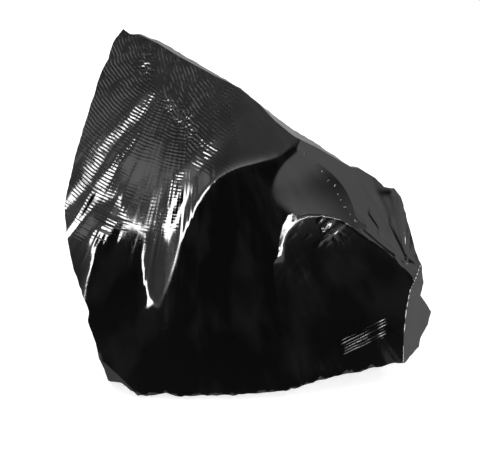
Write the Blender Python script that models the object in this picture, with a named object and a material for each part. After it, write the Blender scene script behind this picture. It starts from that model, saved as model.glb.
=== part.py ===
"""A chunk of obsidian: one broken lump of volcanic glass that stands on a flat underside.

The lump is knapped in code. A rough block with the finished outline is struck by one
cutter for each fracture face, and what lies outside that face falls away. All of it is
laid out face on, with x across, y up and z towards the eye, then leant back onto its
base. Lengths are in millimetres until the last step, which makes them metres.
"""
import math
from functools import partial

import bmesh
import bpy
import numpy as np
from mathutils import Matrix, Vector

MILLIMETRE = 0.001

# Driving dimensions of the block
LEAN = 25.0                  # degrees that the front face leans back
EYE_DISTANCE = 420.0         # the outline is drawn as it looks from this far
BLOCK_FRONT = 14.0           # nearest and farthest reach of the rough block
BLOCK_BACK = -62.0
BASE_HEIGHT = -46.0          # level of the flat underside below the middle of the face

# Corners of the outline, clockwise from the top
OUTLINE = [
    (-31.2, 45.8), (-29.4, 44.5), (-27.0, 44.5), (-22.0, 42.7), (-12.5, 37.1),
    (-2.0, 31.0), (6.0, 24.6), (11.5, 20.5), (17.5, 16.9), (25.6, 11.4),
    (27.4, 11.2), (31.9, 8.5), (34.0, 6.3), (36.5, 6.0), (38.2, 3.9),
    (40.2, -3.1), (41.8, -9.5), (43.5, -13.8), (43.9, -17.8), (43.2, -20.8),
    (45.8, -24.8), (45.0, -28.2), (43.1, -31.4), (42.7, -33.6), (39.2, -37.7),
    (36.8, -37.8), (30.2, -39.3), (20.2, -41.4), (12.4, -43.8), (8.0, -44.9),
    (0.4, -45.4), (-3.0, -45.8), (-11.5, -45.9), (-18.0, -46.2), (-20.5, -45.3), (-24.0, -45.9),
    (-27.5, -45.9), (-31.5, -42.8), (-34.7, -42.2), (-36.0, -40.0), (-38.4, -32.0),
    (-40.1, -27.0), (-39.8, -24.8), (-43.5, -14.8), (-45.4, -5.8), (-45.9, 1.8),
    (-45.2, 5.3), (-43.3, 13.8), (-40.1, 24.5), (-36.4, 35.8), (-35.0, 38.3),
    (-33.8, 42.5),
]

# The part of the main face that falls away to the upper left. Its border is the crest,
# with the long finger that runs down from it, and the strip along the left edge.
FALL_BORDER = [
    (13.0, 16.5), (8.8, 14.2), (3.5, 13.5), (-0.5, 12.8), (-3.8, 11.5), (-7.2, 9.2),
    (-10.5, 5.0), (-12.8, 0.8), (-15.0, -4.0), (-16.8, -8.5), (-18.0, -12.5),
    (-19.5, -18.0), (-21.0, -21.2), (-22.8, -23.0), (-24.5, -21.5), (-26.2, -17.8),
    (-26.5, -12.5), (-26.0, -8.5), (-29.0, -9.5), (-32.5, -8.8), (-36.0, -8.5),
    (-37.8, -7.8), (-39.0, -12.5), (-40.2, -18.2), (-40.8, -22.0), (-44.5, -29.5),
    (-72.0, -29.5), (-72.0, 68.0), (43.0, 68.0),
]
FALL_SLOPE = 0.40
FALL_SOFTNESS = (1.0, 2.2)       # of its border, and how much more near the crest
FINGER_DIRECTION = 168.0         # degrees: the way that the finger falls
CORNER_DIRECTION = 125.0         # and the upper left
CREST_TURN = 22.0                # and how far that turns back along the crest
# Where one of these gives way to the next: the start and the width, across or up
SOFTER_UP = (0.0, 12.0)
EDGE_TURN_ACROSS = (-28.0, -5.0)
EDGE_TURN_UP = (-9.0, 4.0)
CORNER_TURN_UP = (-6.0, 26.0)
CREST_TURN_ACROSS = (-14.0, 22.0)
CREST_TURN_UP = (2.0, 10.0)
# The shoulder to the right of the crest, which falls away to the right
SHOULDER_BORDER = [
    (13.0, 17.0), (8.0, 11.8), (5.2, 7.0), (4.5, 4.7), (6.5, 1.8), (10.5, -0.8),
    (16.8, -2.5), (24.0, -5.0), (32.0, -6.0), (32.0, 6.0), (24.0, 12.0), (16.0, 18.0),
]
SHOULDER_SLOPE = (0.45, 0.30)    # at its left and at its right
SHOULDER_DIRECTION = (34.0, -24.0)   # degrees, at its foot and at its head
SHOULDER_SOFTNESS = 1.5
SHOULDER_TURN_UP = (-1.0, 15.0)
SHOULDER_EASES_ACROSS = (5.0, 20.0)
# Where the main face shows. Elsewhere its slopes are left to follow.
SHOWN_BORDER = [
    (-31.0, 48.0), (8.0, 24.0), (15.5, 16.0), (24.0, 4.0), (28.0, -3.0), (14.0, -1.5),
    (9.5, -8.0), (7.5, -20.0), (12.0, -31.0), (24.0, -33.5), (39.0, -26.0), (40.0, -40.0),
    (8.0, -46.5), (-28.0, -47.5), (-37.0, -42.0), (-42.0, -26.0), (-47.0, -12.0),
    (-47.5, 6.0), (-41.0, 27.0),
]
FIELD_REACH = 58.0               # half the width of the height field
FIELD_STEP = 0.5
FIELD_ROUNDS = 50
LEVEL_PLACE = (0.0, -8.0)        # where the main face is at height nought
FLOW_TURN = math.radians(-35.0)  # from across to the line that crosses the ripples
CROWN_RADIUS = 190.0             # rounding of the crown towards the right
CROWN_START = -6.0
FOOT_RADIUS = 190.0              # rounding of the crown towards the foot
FOOT_START = 12.0

# Curved breaks: a place across and up, the height there, how it slopes across and up,
# and how it bends across, twists and bends up
FLANK = (26.0, 4.0, -7.47, -0.461, -0.077, 0.0029, -0.0011, 0.0039)
SCAR_FLOOR = (25.0, -17.0, -6.25, -0.246, -0.028, 0.0013, -0.0050, -0.0007)
RIGHT_BREAK = (41.0, -22.0, -10.3, -0.95, 0.03, 0.0, 0.0, -0.003)
CORNER_BREAK = (-31.5, -41.0, -5.5, 0.67, 0.74, 0.0, 0.0, 0.0)

# The scar's oval rim, and the lip that rolls up inside it
SCAR_CENTRE = (26.5, -16.5)
SCAR_HALF = (19.6, 18.2)
LIP_WIDTH = 1.4
LIP_SLOPE = 0.36
LIP_SOFTNESS = 0.22

# Broad scars behind the outline: two ends of the struck edge (across, up, towards the
# eye), how far the scar leans in behind that edge, its depth, and how far behind the
# edge it is deepest
SIDE_SCARS = [
    ("upper_left", (-32.0, 47.0, -21.5), (-46.4, 0.0, -11.0), 34.0, 4.0, 26.0),
    ("lower_left", (-46.4, 2.0, -11.5), (-34.0, -45.0, -10.0), 28.0, 5.0, 24.0),
    ("top_slope", (-28.0, 46.6, -21.0), (13.0, 20.6, -6.5), 44.0, 4.0, 24.0),
    ("right_slope", (7.0, 24.0, -6.0), (36.0, 6.6, -15.5), 50.0, 3.0, 20.0),
    ("right_end", (36.0, 7.4, -14.5), (44.4, -16.0, -15.5), 24.0, 3.0, 20.0),
    ("lower_right", (46.6, -23.0, -16.0), (38.0, -40.0, -13.0), 30.0, 3.0, 18.0),
]
SCAR_REACH = 130.0           # size of the slabs that cut the broad scars
SCAR_CUTS = (14, 12)

# Slabs that cut the front faces: reach, and cuts across and up
MAIN_SLAB = (104.0, 59, 61)
FLANK_SLAB = (62.4, 25, 23)
SCAR_SLAB = (52.0, 33, 31)
FLAT_SLAB = (120.0, 1, 1)
SLAB_THICKNESS = 58.0

# Scars across the hidden back: middle of the scar, the way it faces, reach and depth
BACK_SCARS = [
    ("back_left", (-22.0, 4.0, -42.0), (-0.62, 0.10, -0.78), 46.0, 5.0),
    ("back_right", (20.0, -8.0, -44.0), (0.50, -0.02, -0.86), 44.0, 4.0),
    ("back_top", (-8.0, 28.0, -39.0), (-0.05, 0.72, -0.70), 40.0, 4.5),
    ("back_foot", (0.0, -20.0, -50.0), (0.04, -0.40, -0.92), 30.0, 2.5),
]


def face_outwards(work):
    """Turn every face of a closed mesh outwards."""
    bmesh.ops.recalc_face_normals(work, faces=work.faces[:])
    if work.calc_volume(signed=True) < 0.0:
        bmesh.ops.reverse_faces(work, faces=work.faces[:])


def new_object(name, mesh_builder, collection):
    """Make an object from a filled bmesh and put it in a collection."""
    mesh = bpy.data.meshes.new(name)
    face_outwards(mesh_builder)
    mesh_builder.to_mesh(mesh)
    mesh_builder.free()
    thing = bpy.data.objects.new(name, mesh)
    collection.objects.link(thing)
    return thing


def ease(share):
    """From 0 to 1, level at both ends."""
    held = np.clip(share, 0.0, 1.0)
    return held * held * (3.0 - 2.0 * held)


def given_way(place, span):
    """How far one thing has given way to the next, from 0 to 1."""
    start, width = span
    return ease((place - start) / width)


def inside_outline(across, up, corners):
    """True where a point lies inside a closed outline."""
    inside = np.zeros(across.shape, bool)
    for (x1, y1), (x2, y2) in zip(corners, corners[1:] + corners[:1]):
        if y1 == y2:
            continue
        crosses = (y1 > up) != (y2 > up)
        crossing = (x2 - x1) * (up - y1) / (y2 - y1) + x1
        inside ^= crosses & (across < crossing)
    return inside


def depth_inside(across, up, corners):
    """Distance to a closed outline, more than nothing inside and less outside."""
    nearest = np.full(across.shape, np.inf)
    for (x1, y1), (x2, y2) in zip(corners, corners[1:] + corners[:1]):
        run = x2 - x1
        rise = y2 - y1
        share = ((across - x1) * run + (up - y1) * rise) / (run * run + rise * rise)
        share = np.clip(share, 0.0, 1.0)
        off = np.hypot(across - x1 - share * run, up - y1 - share * rise)
        nearest = np.minimum(nearest, off)
    return np.where(inside_outline(across, up, corners), nearest, -nearest)


def wanted_slopes(across, up):
    """The slopes that the main face should have, across and up."""
    depth = depth_inside(across, up, FALL_BORDER)
    softness = FALL_SOFTNESS[0] + FALL_SOFTNESS[1] * given_way(up, SOFTER_UP)
    share = ease(0.5 + depth / (2.0 * softness))
    corner = given_way(up, EDGE_TURN_UP) * given_way(across, EDGE_TURN_ACROSS)
    corner = np.maximum(corner, given_way(up, CORNER_TURN_UP))
    along_crest = given_way(across, CREST_TURN_ACROSS) * given_way(up, CREST_TURN_UP)
    turn = FINGER_DIRECTION + (CORNER_DIRECTION - FINGER_DIRECTION) * corner
    turn = np.radians(turn - CREST_TURN * along_crest)
    slope_across = -FALL_SLOPE * share * np.cos(turn)
    slope_up = -FALL_SLOPE * share * np.sin(turn)

    depth = depth_inside(across, up, SHOULDER_BORDER)
    share = ease(0.5 + depth / (2.0 * SHOULDER_SOFTNESS))
    foot, head = SHOULDER_DIRECTION
    turn = np.radians(foot + (head - foot) * given_way(up, SHOULDER_TURN_UP))
    near, far = SHOULDER_SLOPE
    steep = share * (near + (far - near) * given_way(across, SHOULDER_EASES_ACROSS))
    return slope_across - steep * np.cos(turn), slope_up - steep * np.sin(turn)


def heights_from_slopes(slope_across, slope_up, step):
    """The heights whose slopes come closest to the wanted ones."""
    rows, columns = slope_across.shape
    wide = np.concatenate([slope_across, -slope_across[:, ::-1]], 1)
    wide = np.fft.fft2(np.concatenate([wide, wide[::-1]], 0))
    tall = np.concatenate([slope_up, slope_up[:, ::-1]], 1)
    tall = np.fft.fft2(np.concatenate([tall, -tall[::-1]], 0))
    across_rate = 2.0 * np.pi * np.fft.fftfreq(2 * columns, step)[None, :]
    up_rate = 2.0 * np.pi * np.fft.fftfreq(2 * rows, step)[:, None]
    size = across_rate ** 2 + up_rate ** 2
    size[0, 0] = 1.0
    heights = -1j * (across_rate * wide + up_rate * tall) / size
    heights[0, 0] = 0.0
    return np.real(np.fft.ifft2(heights))[:rows, :columns]


def height_field():
    """The main face laid down by its slopes: the heights that come closest to them."""
    places = np.arange(-FIELD_REACH, FIELD_REACH + 0.5 * FIELD_STEP, FIELD_STEP)
    across, up = np.meshgrid(places, places)
    shown = inside_outline(across, up, SHOWN_BORDER)
    wanted_across, wanted_up = wanted_slopes(across, up)
    slope_across = wanted_across
    slope_up = wanted_up
    for _ in range(FIELD_ROUNDS):
        heights = heights_from_slopes(slope_across, slope_up, FIELD_STEP)
        found_up, found_across = np.gradient(heights, FIELD_STEP)
        slope_across = np.where(shown, wanted_across, found_across)
        slope_up = np.where(shown, wanted_up, found_up)
    return heights


def field_height(field, across, up):
    """Height read from the field between its four nearest places."""
    last_cell = field.shape[0] - 2
    column = (across + FIELD_REACH) / FIELD_STEP
    row = (up + FIELD_REACH) / FIELD_STEP
    left = np.clip(np.floor(column).astype(int), 0, last_cell)
    below = np.clip(np.floor(row).astype(int), 0, last_cell)
    right_share = np.clip(column - left, 0.0, 1.0)
    above_share = np.clip(row - below, 0.0, 1.0)
    lower = field[below, left] * (1.0 - right_share) + field[below, left + 1] * right_share
    upper = field[below + 1, left] * (1.0 - right_share) + field[below + 1, left + 1] * right_share
    return lower * (1.0 - above_share) + upper * above_share


def main_face(field, across, up):
    """Height of the large main fracture face, towards the eye."""
    level = field_height(field, np.array([LEVEL_PLACE[0]]), np.array([LEVEL_PLACE[1]]))[0]
    side = across * math.cos(FLOW_TURN) + up * math.sin(FLOW_TURN)
    flow = across * math.sin(FLOW_TURN) - up * math.cos(FLOW_TURN)
    crown = np.clip(side - CROWN_START, 0.0, None) ** 2 / (2.0 * CROWN_RADIUS)
    foot = np.clip(flow - FOOT_START, 0.0, None) ** 2 / (2.0 * FOOT_RADIUS)
    return field_height(field, across, up) - level - crown - foot


def curved_face(shape, across, up):
    """Height of a gently curved break."""
    place_across, place_up, level, slope_across, slope_up, bend_across, twist, bend_up = shape
    side = across - place_across
    rise = up - place_up
    bend = bend_across * side ** 2 + twist * side * rise + bend_up * rise ** 2
    return level + slope_across * side + slope_up * rise + bend


def scar_face(across, up):
    """Height of the scar's floor and its rolled lip."""
    out_across = (across - SCAR_CENTRE[0]) / SCAR_HALF[0]
    out_up = (up - SCAR_CENTRE[1]) / SCAR_HALF[1]
    outside = (np.hypot(out_across, out_up) - 1.0) * SCAR_HALF[0] + LIP_WIDTH
    lip = LIP_SLOPE * LIP_SOFTNESS * np.logaddexp(0.0, outside / LIP_SOFTNESS)
    return curved_face(SCAR_FLOOR, across, up) + lip


def thicken(sheet, direction, distance):
    """Close an open sheet into a slab by drawing it out along a direction."""
    drawn = bmesh.ops.extrude_face_region(sheet, geom=sheet.faces[:], use_keep_orig=True)
    moved = [part for part in drawn["geom"] if isinstance(part, bmesh.types.BMVert)]
    bmesh.ops.translate(sheet, vec=direction * distance, verts=moved)


def sheet_cutter(name, middle, slab, height, collection):
    """A closed slab over the front whose lower side is the fracture face."""
    reach, cuts_across, cuts_up = slab
    sheet = bmesh.new()
    bmesh.ops.create_grid(sheet, x_segments=cuts_across, y_segments=cuts_up, size=0.5)
    across = np.array([middle[0] + vertex.co.x * reach for vertex in sheet.verts])
    up = np.array([middle[1] + vertex.co.y * reach for vertex in sheet.verts])
    for vertex, place in zip(sheet.verts, zip(across, up, height(across, up))):
        vertex.co = Vector(place)
    thicken(sheet, Vector((0.0, 0.0, 1.0)), SLAB_THICKNESS)
    return new_object(name, sheet, collection)


def scar_cutter(name, frame, half_length, depth, deepest, collection):
    """A slab whose inner side is a broad shallow dish, placed by a frame.

    The frame's x runs along the struck edge, y away behind it, and z out of the stone.
    The dish meets that edge at its two ends and is deepest some way behind it.
    """
    sheet = bmesh.new()
    bmesh.ops.create_grid(sheet, x_segments=SCAR_CUTS[0], y_segments=SCAR_CUTS[1], size=0.5)
    for vertex in sheet.verts:
        along = vertex.co.x * SCAR_REACH
        behind = vertex.co.y * SCAR_REACH + deepest
        across_share = along / half_length
        behind_share = (behind - deepest) / deepest
        dish = 1.0 - across_share ** 2 - behind_share ** 2
        vertex.co = Vector((along, behind, -depth * dish))
    thicken(sheet, Vector((0.0, 0.0, 1.0)), SCAR_REACH)
    sheet.transform(frame)
    return new_object(name, sheet, collection)


def side_scar(name, start, end, lean_in, depth, deepest, collection):
    """A scar that starts at an edge of the outline and leans in behind it."""
    first = Vector(start)
    last = Vector(end)
    along = (last - first).normalized()
    inward = Vector((-along.y, along.x, 0.0)).normalized()
    middle = (first + last) / 2.0
    if inward.dot(middle) > 0.0:
        inward.negate()
    lean = math.radians(lean_in)
    behind = Vector((0.0, 0.0, -math.cos(lean))) + inward * math.sin(lean)
    behind = (behind - along * behind.dot(along)).normalized()
    outward = along.cross(behind).normalized()
    if outward.dot(inward) > 0.0:
        outward.negate()
        along.negate()
    axes = Matrix((along, behind, outward)).transposed().to_4x4()
    frame = Matrix.Translation(middle) @ axes
    half_length = 0.5 * (last - first).length
    return scar_cutter(name, frame, half_length, depth, deepest, collection)


def back_scar(name, middle, facing, reach, depth, collection):
    """A scar across the hidden back."""
    axes = Vector(facing).to_track_quat("Z", "Y").to_matrix().to_4x4()
    frame = Matrix.Translation(Vector(middle)) @ axes @ Matrix.Translation((0.0, -reach, 0.0))
    return scar_cutter(name, frame, reach, depth, reach, collection)


def rough_block(name, collection):
    """The block before it is struck: the outline drawn out from front to back."""
    block = bmesh.new()
    corners = [block.verts.new((x, y, BLOCK_BACK)) for x, y in OUTLINE]
    block.faces.new(corners)
    thicken(block, Vector((0.0, 0.0, 1.0)), BLOCK_FRONT - BLOCK_BACK)
    return new_object(name, block, collection)


def strike(stone, cutter):
    """Take away what a cutter covers."""
    cut = stone.modifiers.new(cutter.name, "BOOLEAN")
    cut.operation = "DIFFERENCE"
    cut.solver = "EXACT"
    cut.object = cutter
    cutter.hide_render = True
    cutter.display_type = "WIRE"


def cut_base(work, level):
    """Cut the stone off flat at a level and close the cut with one face."""
    everything = work.verts[:] + work.edges[:] + work.faces[:]
    below = Vector((0.0, 0.0, -1.0))
    spot = Vector((0.0, 0.0, level))
    cut = bmesh.ops.bisect_plane(
        work, geom=everything, plane_co=spot, plane_no=below, clear_outer=True
    )
    rim = [part for part in cut["geom_cut"] if isinstance(part, bmesh.types.BMEdge)]
    bmesh.ops.triangle_fill(work, use_beauty=True, edges=rim)


def settle(stone):
    """Keep the struck mesh, draw it to the eye, lean it back and set it on its base."""
    depsgraph = bpy.context.evaluated_depsgraph_get()
    struck = bpy.data.meshes.new_from_object(stone.evaluated_get(depsgraph))
    stone.modifiers.clear()
    work = bmesh.new()
    work.from_mesh(struck)
    bmesh.ops.triangulate(work, faces=work.faces[:])
    for vertex in work.verts:
        nearness = 1.0 - vertex.co.z / EYE_DISTANCE
        vertex.co.x *= nearness
        vertex.co.y *= nearness
    work.transform(Matrix.Rotation(math.radians(90.0 - LEAN), 4, "X"))
    cut_base(work, BASE_HEIGHT)
    low = Vector([min(vertex.co[axis] for vertex in work.verts) for axis in range(3)])
    high = Vector([max(vertex.co[axis] for vertex in work.verts) for axis in range(3)])
    middle = (low + high) / 2.0
    to_base = Matrix.Translation((-middle.x, -middle.y, -low.z))
    work.transform(Matrix.Scale(MILLIMETRE, 4) @ to_base)
    face_outwards(work)
    work.to_mesh(stone.data)
    work.free()


def glass():
    """Black volcanic glass."""
    material = bpy.data.materials.new("obsidian_glass")
    material.use_nodes = True
    shader = material.node_tree.nodes["Principled BSDF"]
    shader.inputs["Base Color"].default_value = (0.008, 0.008, 0.009, 1.0)
    shader.inputs["Roughness"].default_value = 0.08
    shader.inputs["Metallic"].default_value = 0.0
    return material


def main():
    for old in list(bpy.data.objects):
        bpy.data.objects.remove(old)
    parts = bpy.data.collections.new("obsidian_chunk")
    cutters = bpy.data.collections.new("cutters")
    bpy.context.scene.collection.children.link(parts)
    bpy.context.scene.collection.children.link(cutters)

    stone = rough_block("obsidian_chunk", parts)
    for scar in BACK_SCARS:
        strike(stone, back_scar(*scar, cutters))
    for scar in SIDE_SCARS:
        strike(stone, side_scar(*scar, cutters))
    field = height_field()
    fronts = [
        ("face", (0.0, 0.0), MAIN_SLAB, partial(main_face, field)),
        ("flank", FLANK[:2], FLANK_SLAB, partial(curved_face, FLANK)),
        ("scar", SCAR_CENTRE, SCAR_SLAB, scar_face),
        ("right_break", RIGHT_BREAK[:2], FLANK_SLAB, partial(curved_face, RIGHT_BREAK)),
        ("corner_break", CORNER_BREAK[:2], FLAT_SLAB, partial(curved_face, CORNER_BREAK)),
    ]
    for name, place, slab, height in fronts:
        strike(stone, sheet_cutter(name, place, slab, height, cutters))
    settle(stone)
    stone.data.materials.clear()
    stone.data.materials.append(glass())


main()
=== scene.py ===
import math
from functools import partial

import bmesh
import bpy
import numpy as np
from mathutils import Matrix, Vector


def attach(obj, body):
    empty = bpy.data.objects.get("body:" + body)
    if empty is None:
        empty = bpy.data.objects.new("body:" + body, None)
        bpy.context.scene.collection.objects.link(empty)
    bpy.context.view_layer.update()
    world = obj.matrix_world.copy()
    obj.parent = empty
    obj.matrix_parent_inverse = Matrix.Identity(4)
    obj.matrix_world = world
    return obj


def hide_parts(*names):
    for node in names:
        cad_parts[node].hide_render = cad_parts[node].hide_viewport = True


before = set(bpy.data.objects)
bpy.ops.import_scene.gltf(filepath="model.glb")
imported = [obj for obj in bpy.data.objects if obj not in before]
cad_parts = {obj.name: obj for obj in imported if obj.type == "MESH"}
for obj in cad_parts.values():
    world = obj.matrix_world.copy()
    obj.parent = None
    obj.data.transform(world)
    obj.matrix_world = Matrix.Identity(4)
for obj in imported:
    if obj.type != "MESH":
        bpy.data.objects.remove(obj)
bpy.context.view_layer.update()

# The stone is knapped face on, in millimetres, with x across, y up and z towards the
# eye, as its solid is. It is then leant back, cut flat underneath and made metres.
MILLIMETRE = 0.001
LEAN = 25.0                      # degrees that the front leans back
LEANT = Matrix.Rotation(math.radians(90.0 - LEAN), 4, "X")
EYE_DISTANCE = 420.0             # the outline is drawn as it looks from this far
BASE_HEIGHT = -46.0
BASE_SHIFT = (-0.142, -12.651)   # from the middle of the face to the middle of the base
BLOCK_FRONT = 14.0
BLOCK_BACK = -62.0

# Corners of the outline, clockwise from the top
OUTLINE = [
    (-31.2, 45.8), (-29.4, 44.5), (-27.0, 44.5), (-22.0, 42.7), (-12.5, 37.1),
    (-2.0, 31.0), (6.0, 24.6), (11.5, 20.5), (17.5, 16.9), (25.6, 11.4),
    (27.4, 11.2), (31.9, 8.5), (34.0, 6.3), (36.5, 6.0), (38.2, 3.9),
    (40.2, -3.1), (41.8, -9.5), (43.5, -13.8), (43.9, -17.8), (43.2, -20.8),
    (45.8, -24.8), (45.0, -28.2), (43.1, -31.4), (42.7, -33.6), (39.2, -37.7),
    (36.8, -37.8), (30.2, -39.3), (20.2, -41.4), (12.4, -43.8), (8.0, -44.9),
    (0.4, -45.4), (-3.0, -45.8), (-11.5, -45.9), (-18.0, -46.2), (-20.5, -45.3), (-24.0, -45.9),
    (-27.5, -45.9), (-31.5, -42.8), (-34.7, -42.2), (-36.0, -40.0), (-38.4, -32.0),
    (-40.1, -27.0), (-39.8, -24.8), (-43.5, -14.8), (-45.4, -5.8), (-45.9, 1.8),
    (-45.2, 5.3), (-43.3, 13.8), (-40.1, 24.5), (-36.4, 35.8), (-35.0, 38.3),
    (-33.8, 42.5),
]
OUTLINE_STEP = 0.7               # spacing of the fine outline
OUTLINE_ROUGHNESS = 0.13         # how far the struck edge wanders from it
FOOT_LEVEL = -37.0               # below this the edge is rougher,
FOOT_ROUGHENING = 2.0            # by this much

# The part of the main face that falls away to the upper left. Its border is the crest,
# with the long finger that runs down from it, and the strip along the left edge.
FALL_BORDER = [
    (14.0, 16.4), (9.0, 13.4), (5.5, 12.6), (3.0, 12.0), (-0.8, 11.4), (-4.0, 10.4), (-7.2, 8.7),
    (-10.5, 5.0), (-12.8, 0.8), (-15.0, -4.0), (-16.8, -8.5), (-18.0, -12.5),
    (-19.5, -18.0), (-21.0, -21.2), (-22.8, -23.0), (-24.5, -21.5), (-26.2, -17.8),
    (-26.5, -12.5), (-26.0, -8.5), (-29.0, -9.5), (-32.5, -8.8), (-36.0, -8.5),
    (-37.8, -7.8), (-39.0, -12.5), (-40.2, -18.2), (-40.8, -22.0), (-44.5, -29.5),
    (-72.0, -29.5), (-72.0, 68.0), (43.0, 68.0),
]
FALL_SLOPE = 0.40
FINGER_DIRECTION = 168.0         # degrees: the way that the finger falls,
CORNER_DIRECTION = 125.0         # the way that the upper left falls,
CREST_TURN = -22.0               # how much further round it falls towards the crest,
ROLLING_TURN = -60.0             # and where it rolls over at the crest beside the finger
BORDER_SOFTNESS = 0.85           # half the width in which it rolls over, low down,
BORDER_SOFTENING = 2.35          # and how much wider that is high up
TORN_EDGE = ((-26.2, -14.0), 2.4, 6.5)   # the finger's torn left edge: middle, half sizes
TORN_EDGE_SWING = 0.55
MOTTLING = 0.09                  # share by which the slope varies from place to place
STREAKING = 0.5                  # share by which a flute varies from streak to streak

# Where the two sets of ripples spread from
LEFT_ORIGIN = (-12.5, 47.2)
RIGHT_ORIGIN = (9.2, 43.0)

# Flutes that run down the falling part, where it is less steep: a line from the lower
# end up, half the width, the share of the slope that is lost and how sharp the sides are
FLUTES = [
    ([(-46.0, 0.0), (-40.5, 9.5), (-36.0, 17.0), (-28.5, 24.0), (-25.0, 28.0)], 2.3, 0.30, 4),
    ([(-37.2, 6.8), (-31.5, 14.2), (-27.5, 19.5)], 0.9, 0.29, 4),
    ([(-46.5, -7.5), (-41.2, -0.2), (-38.4, 4.3)], 0.95, 0.47, 4),
    ([(-17.0, 7.8), (-13.3, 11.7), (-9.2, 16.2)], 2.2, 0.38, 4),
    ([(-18.4, -1.8), (-17.0, 2.6), (-15.2, 6.0)], 1.5, 0.41, 4),
    ([(-20.4, -7.5), (-19.0, -1.5)], 0.5, 0.22, 3),
    ([(-41.7, -21.0), (-39.9, -13.0), (-38.2, -7.6)], 1.15, 0.44, 4),
    ([(-36.6, -6.2), (-33.0, -7.2), (-28.8, -7.8)], 3.1, 0.74, 8),
    ([(-34.5, 0.6), (-29.0, -0.8), (-24.0, -3.4)], 2.4, -0.26, 4),
]
LEFT_FLUTES = (0, 1)             # those with steeper ripples of the left set,
CALM_FLUTES = (2,)               # with calmer ones,
RIGHT_FLUTES = (3,)              # and with steeper ones of the right set

# The shoulder to the right of the crest, which falls away to the right
SHOULDER_BORDER = [
    (13.0, 17.0), (8.0, 11.8), (5.2, 7.0), (4.5, 4.7), (6.5, 1.8), (10.5, -0.8),
    (16.8, -2.5), (24.0, -5.0), (38.0, -10.0), (38.0, 10.0), (28.0, 18.0), (16.0, 19.0),
]
SHOULDER_SLOPE = (0.52, 0.27)    # at its left and at its right
SHOULDER_DIRECTION = (34.0, -24.0)   # degrees, at its foot and at its head
SHOULDER_SOFTNESS = 3.0          # width of its soft border

# Where the main face shows. Elsewhere its slopes are left to follow.
SHOWN_BORDER = [
    (-31.0, 48.0), (8.0, 24.0), (16.5, 17.0), (26.0, 7.0), (31.0, -3.5), (14.0, -2.0),
    (9.5, -8.0), (7.5, -20.0), (12.0, -31.0), (24.0, -33.5), (39.0, -26.0), (40.0, -40.0),
    (8.0, -46.5), (-28.0, -47.5), (-37.0, -42.0), (-42.0, -26.0), (-47.0, -12.0),
    (-47.5, 6.0), (-41.0, 27.0),
]
FIELD_REACH = 58.0               # half the width of the height field
FIELD_STEP = 0.5                 # spacing of its heights
FIELD_ROUNDS = 50                # rounds in which its hidden slopes settle
FIELD_BLUR = 0.45                # how far the finished heights are smoothed


def ease(share):
    """From 0 to 1, level at both ends."""
    held = np.clip(share, 0.0, 1.0)
    return held * held * (3.0 - 2.0 * held)


NOISE_SIZE = 64                  # swells before the noise repeats


def wander(across, up, seed):
    """Smooth noise from -1 to 1, one swell to each unit."""
    heights = np.random.default_rng(seed).uniform(-1.0, 1.0, (NOISE_SIZE, NOISE_SIZE))
    column = np.floor(across).astype(int)
    row = np.floor(up).astype(int)
    right = across - column
    above = up - row
    right = right ** 3 * (right * (6.0 * right - 15.0) + 10.0)
    above = above ** 3 * (above * (6.0 * above - 15.0) + 10.0)
    lower, upper = (
        heights[(row + step) % NOISE_SIZE, column % NOISE_SIZE] * (1.0 - right)
        + heights[(row + step) % NOISE_SIZE, (column + 1) % NOISE_SIZE] * right
        for step in (0, 1)
    )
    return lower * (1.0 - above) + upper * above


def inside_outline(across, up, corners):
    """True where a point lies inside a closed outline."""
    inside = np.zeros(across.shape, bool)
    for (x1, y1), (x2, y2) in zip(corners, corners[1:] + corners[:1]):
        if y1 == y2:
            continue
        crosses = (y1 > up) != (y2 > up)
        crossing = (x2 - x1) * (up - y1) / (y2 - y1) + x1
        inside ^= crosses & (across < crossing)
    return inside


def beside_path(across, up, line):
    """Distance from an open line of points."""
    nearest = np.full(across.shape, np.inf)
    for (x1, y1), (x2, y2) in zip(line, line[1:]):
        run = x2 - x1
        rise = y2 - y1
        share = ((across - x1) * run + (up - y1) * rise) / (run * run + rise * rise)
        share = np.clip(share, 0.0, 1.0)
        nearest = np.minimum(nearest, np.hypot(across - x1 - share * run, up - y1 - share * rise))
    return nearest


def depth_inside(across, up, corners):
    """Distance to a closed outline, more than nothing inside and less outside."""
    nearest = beside_path(across, up, corners + corners[:1])
    return np.where(inside_outline(across, up, corners), nearest, -nearest)


def read_off(place, pairs):
    """The value at a place along a list of places and values."""
    return np.interp(place, [pair[0] for pair in pairs], [pair[1] for pair in pairs])


def beside_line(across, up, line):
    """Distance across from a line that runs up, more than nothing on its right."""
    return across - np.interp(up, [point[1] for point in line], [point[0] for point in line])


def from_origin(across, up, origin):
    """Distance from where a fracture started, and the angle from straight down."""
    distance = np.hypot(across - origin[0], up - origin[1])
    return distance, np.arctan2(across - origin[0], origin[1] - up)


def patch(across, up, middle, half_across, half_up):
    """A soft round patch, from 0 to 1."""
    return np.exp(-((across - middle[0]) / half_across) ** 2 - ((up - middle[1]) / half_up) ** 2)


# -------------------- the main face

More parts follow.
